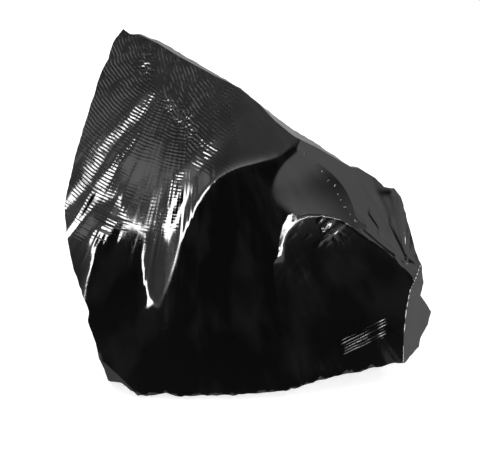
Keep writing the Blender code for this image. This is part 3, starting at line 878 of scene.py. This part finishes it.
# The sheets that the front cutters start from: middle, reach, spacing and the share of
# the reach upwards
BREAKS = [
    ("right_break", ((41.0, -24.0), 36.0, 0.35), right_face),
    ("corner_break", (CORNER_BREAK[:2], 50.0, 0.9), partial(curved_face, CORNER_BREAK)),
    ("flank", (FLANK[:2], 62.0, 0.31), flank_face),
    ("scar", ((25.0, -16.0), 54.0, 0.32), scar_face),
    ("edge_break", ((0.0, 26.0), 64.0, 0.5), edge_face),
]
LAST_BREAKS = [
    ("foot", ((2.3, -42.0), 97.0, 0.27, 0.15), foot_face),
    ("hackles", ((29.0, -31.1), 22.0, 0.17, 0.6), hackle_face),
]


def square_cutters(breaks):
    """The front cutters that start from square sheets."""
    return [front_cutter(name, square_sheet(*sheet), height) for name, sheet, height in breaks]


def knap():
    """Strike the stone: the back and sides, the breaks in front, the main face, the chips."""
    stone = rough_block()
    broad = [back_scar(*scar, 40 + 2 * i) for i, scar in enumerate(BACK_SCARS)]
    broad += [side_scar(*scar, 60 + 2 * i) for i, scar in enumerate(SIDE_SCARS)]
    strike(stone, broad)
    strike(stone, square_cutters(BREAKS))
    strike(stone, [front_cutter("main", fan_sheet(LEFT_ORIGIN), main_face)])
    strike(stone, square_cutters(LAST_BREAKS) + [chip_cutter()])
    settle(stone)
    stone.name = "chunk"
    return stone


# -------------------- finish

def maths_node(tree, operation, *values):
    """The result of a sum with numbers and the outputs of other nodes."""
    node = tree.nodes.new("ShaderNodeMath")
    node.operation = operation
    for socket, value in zip(node.inputs, values):
        if isinstance(value, float):
            socket.default_value = value
        else:
            tree.links.new(value, socket)
    return node.outputs["Value"]


def range_node(tree, value, start, end, low=0.0, high=1.0, smooth=False):
    """A value moved from one range to another, evenly or with soft ends."""
    node = tree.nodes.new("ShaderNodeMapRange")
    if smooth:
        node.interpolation_type = "SMOOTHSTEP"
    tree.links.new(value, node.inputs["Value"])
    sockets = ("From Min", "From Max", "To Min", "To Max")
    for socket, setting in zip(sockets, (start, end, low, high)):
        node.inputs[socket].default_value = setting
    return node.outputs["Result"]


def volcanic_glass():
    """Black volcanic glass: a fresh wet gloss with hazy streaks along the fracture."""
    material = bpy.data.materials.new("volcanic_glass")
    material.use_nodes = True
    nodes = material.node_tree.nodes
    links = material.node_tree.links
    maths = partial(maths_node, material.node_tree)
    ranged = partial(range_node, material.node_tree)
    shader = nodes["Principled BSDF"]
    shader.inputs["IOR"].default_value = 1.5

    plan = nodes.new("ShaderNodeUVMap")
    plan.uv_map = "face_plan"
    shifted = nodes.new("ShaderNodeVectorMath")
    shifted.operation = "SUBTRACT"
    links.new(plan.outputs["UV"], shifted.inputs[0])
    shifted.inputs[1].default_value = (LEFT_ORIGIN[0], LEFT_ORIGIN[1], 0.0)
    apart = nodes.new("ShaderNodeSeparateXYZ")
    links.new(shifted.outputs["Vector"], apart.inputs["Vector"])
    turn = maths("ARCTAN2", apart.outputs["X"], apart.outputs["Y"])
    far = nodes.new("ShaderNodeVectorMath")
    far.operation = "LENGTH"
    links.new(shifted.outputs["Vector"], far.inputs[0])
    place = nodes.new("ShaderNodeTexCoord")

    def noise(vector, scale, detail):
        node = nodes.new("ShaderNodeTexNoise")
        node.inputs["Scale"].default_value = scale
        node.inputs["Detail"].default_value = detail
        links.new(vector, node.inputs["Vector"])
        return node.outputs["Fac"]

    def flow_noise(across_turns, along_turns, detail):
        sides = nodes.new("ShaderNodeCombineXYZ")
        links.new(maths("MULTIPLY", turn, across_turns), sides.inputs["X"])
        links.new(maths("MULTIPLY", far.outputs["Value"], along_turns), sides.inputs["Y"])
        return noise(sides.outputs["Vector"], 1.0, detail)

    def place_noise(scale, detail):
        return noise(place.outputs["Object"], scale, detail)

    def bump(height, strength, distance):
        node = nodes.new("ShaderNodeBump")
        node.inputs["Strength"].default_value = strength
        node.inputs["Distance"].default_value = distance
        links.new(height, node.inputs["Height"])
        return node

    flowing = ranged(flow_noise(9.0, 0.03, 3.0), 0.45, 0.60)
    patchy = ranged(place_noise(75.0, 1.0), 0.42, 0.58)
    streaky = ranged(flow_noise(80.0, 0.05, 3.0), 0.38, 0.60, 0.35, 1.0)
    hazy = maths("MULTIPLY", maths("MULTIPLY", flowing, patchy), streaky)
    links.new(ranged(hazy, 0.0, 1.0, 0.05, 0.22), shader.inputs["Roughness"])
    pale = ranged(flow_noise(8.0, 0.05, 3.0), 0.48, 0.64, 0.0022, 0.0065)
    links.new(pale, shader.inputs["Base Color"])

    scored = bump(flow_noise(190.0, 0.25, 2.0), 0.25, 0.00002)
    dusty = bump(ranged(place_noise(2600.0, 2.0), 0.66, 0.72), 0.12, 0.00001)
    links.new(scored.outputs["Normal"], dusty.inputs["Normal"])
    links.new(dusty.outputs["Normal"], shader.inputs["Normal"])
    return material


# -------------------- studio

def in_studio(polar, azimuth):
    """A direction given by its angle from the eye and the angle round it."""
    tip = math.radians(polar)
    turn = math.radians(azimuth)
    aside = math.sin(tip)
    return LEANT @ Vector((aside * math.cos(turn), aside * math.sin(turn), math.cos(tip)))


# The dark room behind the eye: the way to its middle, as the angle from the eye and the
# angle round it, and its brightness from one angle off that middle to another
ROOM = (8.0, -60.0)
ROOM_GLOW = (12.0, 34.0, 0.02, 0.06)
# The angles off the room's middle over which the white round it starts, and how bright
# it is at angles from the eye, at the left and elsewhere
LEFT_START = (33.0, 36.5)
LEFT_FADE = (36.0, 0.13, 1.15)   # from this angle on, at this rate, from this brightness
RIGHT_START = (31.0, 40.0)
RIGHT_GLOW = (38.0, 51.0, 0.30, 1.30)
WHITE_GLOW = 0.12                # brightness of the white everywhere
LEFT_SIDE = (150.0, 80.0, 45.0)  # the angle of the left, and how far off it ends and is full
# Soft strips: inner and outer angle from the eye, the angle round it and half its
# spread, the softness of the long edges, and the brightness
STRIPS = [
    (25.5, 35.5, 163.0, 26.0, 0.8, 30.0),
    (64.0, 77.0, 0.0, 50.0, 1.5, 26.0),
    (45.0, 62.0, 142.0, 9.0, 3.0, 1.9),
    (47.0, 60.0, -62.0, 22.0, 2.0, 9.0),
]
DIFFUSE_GLOW = 0.9               # the even light on what doesn't mirror


def surroundings():
    """What the stone mirrors: a dark room behind the eye, soft white round it, and strips."""
    world = bpy.data.worlds.new("studio")
    bpy.context.scene.world = world
    world.use_nodes = True
    nodes = world.node_tree.nodes
    links = world.node_tree.links
    maths = partial(maths_node, world.node_tree)
    eased = partial(range_node, world.node_tree, smooth=True)
    direction = nodes.new("ShaderNodeTexCoord").outputs["Generated"]

    def along(axis):
        node = nodes.new("ShaderNodeVectorMath")
        node.operation = "DOT_PRODUCT"
        node.inputs[1].default_value = axis
        links.new(direction, node.inputs[0])
        return node.outputs["Value"]

    def angle_from(polar, azimuth):
        angle = maths("ARCCOSINE", along(in_studio(polar, azimuth)))
        return maths("MULTIPLY", angle, 180.0 / math.pi)

    def turn_from(azimuth):
        straight = along(in_studio(90.0, azimuth))
        turn = maths("ARCTAN2", along(in_studio(90.0, azimuth + 90.0)), straight)
        return maths("ABSOLUTE", maths("MULTIPLY", turn, 180.0 / math.pi))

    from_eye = angle_from(0.0, 0.0)

    def strip(inner, outer, azimuth, half_turn, soft, glow):
        inner_edge = eased(from_eye, inner - soft, inner + soft)
        outer_edge = eased(from_eye, outer + soft, outer - soft)
        reach = eased(turn_from(azimuth), half_turn + 6.0, half_turn - 3.0, 0.0, glow)
        return maths("MULTIPLY", maths("MULTIPLY", inner_edge, outer_edge), reach)

    from_room = angle_from(*ROOM)
    azimuth, *spread = LEFT_SIDE
    left = eased(turn_from(azimuth), *spread)
    right = maths("SUBTRACT", 1.0, left)
    left_edge = maths("MULTIPLY", eased(from_room, *LEFT_START), left)
    right_edge = maths("MULTIPLY", eased(from_room, *RIGHT_START), right)
    start, rate, glow = LEFT_FADE
    fade = maths("EXPONENT", maths("MULTIPLY", maths("SUBTRACT", start, from_eye), rate))
    left_white = maths("MULTIPLY", maths("MULTIPLY", fade, glow), left)
    right_white = maths("MULTIPLY", eased(from_eye, *RIGHT_GLOW), right)
    white = maths("ADD", maths("ADD", right_white, WHITE_GLOW), left_white)
    white = maths("MULTIPLY", white, eased(from_eye, 100.0, 135.0, 1.0, 0.65))
    white = maths("MULTIPLY", white, eased(along(Vector((0.0, 0.0, 1.0))), -0.75, -0.2, 0.4, 1.0))
    shown = maths("MULTIPLY", maths("ADD", left_edge, right_edge), white)
    total = maths("ADD", shown, eased(from_room, *ROOM_GLOW))
    for light in STRIPS:
        total = maths("ADD", total, strip(*light))

    path = nodes.new("ShaderNodeLightPath")
    mirrored = nodes.new("ShaderNodeMix")
    links.new(path.outputs["Is Glossy Ray"], mirrored.inputs["Factor"])
    mirrored.inputs["A"].default_value = DIFFUSE_GLOW
    links.new(total, mirrored.inputs["B"])
    seen = nodes.new("ShaderNodeMix")
    links.new(path.outputs["Is Camera Ray"], seen.inputs["Factor"])
    links.new(mirrored.outputs["Result"], seen.inputs["A"])
    seen.inputs["B"].default_value = 1.0
    links.new(seen.outputs["Result"], nodes["Background"].inputs["Strength"])
    nodes["Background"].inputs["Color"].default_value = (1.0, 1.0, 1.0, 1.0)


FLOOR_RADIUS = 0.3
FLOOR_GLOW = 0.72


def pale_floor():
    """A round white table."""
    work = bmesh.new()
    bmesh.ops.create_circle(work, cap_ends=True, segments=96, radius=FLOOR_RADIUS)
    mesh = bpy.data.meshes.new("floor")
    work.to_mesh(mesh)
    work.free()
    floor = bpy.data.objects.new("floor", mesh)
    bpy.context.scene.collection.objects.link(floor)
    material = bpy.data.materials.new("white_table")
    material.use_nodes = True
    shader = material.node_tree.nodes["Principled BSDF"]
    shader.inputs["Base Color"].default_value = (0.80, 0.80, 0.80, 1.0)
    shader.inputs["Roughness"].default_value = 0.9
    shader.inputs["Specular IOR Level"].default_value = 0.0
    shader.inputs["Emission Color"].default_value = (1.0, 1.0, 1.0, 1.0)
    shader.inputs["Emission Strength"].default_value = FLOOR_GLOW
    mesh.materials.append(material)
    floor.visible_glossy = False


FOCAL_LENGTH = 126.0
SENSOR_WIDTH = 36.0
PICTURE_SHIFT = (-8.0 / 480.0, -14.5 / 480.0)   # parts of its width, across and up


def main_camera():
    """The camera, a little above the stone and looking straight at its leant face."""
    lens = bpy.data.cameras.new("camera")
    lens.sensor_width = SENSOR_WIDTH
    lens.lens = FOCAL_LENGTH
    lens.shift_x, lens.shift_y = PICTURE_SHIFT
    lens.clip_start = 0.01
    camera = bpy.data.objects.new("camera", lens)
    bpy.context.scene.collection.objects.link(camera)
    eye = LEANT @ Vector((0.0, 0.0, EYE_DISTANCE))
    shift = Vector((BASE_SHIFT[0], BASE_SHIFT[1], -BASE_HEIGHT))
    camera.matrix_world = Matrix.Translation((eye + shift) * MILLIMETRE) @ LEANT
    bpy.context.scene.camera = camera


main_camera()
surroundings()
pale_floor()

chunk = knap()
chunk.data.materials.clear()
chunk.data.materials.append(volcanic_glass())
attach(chunk, "root")
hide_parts("obsidian_chunk")

bpy.context.scene.view_settings.view_transform = "Standard"
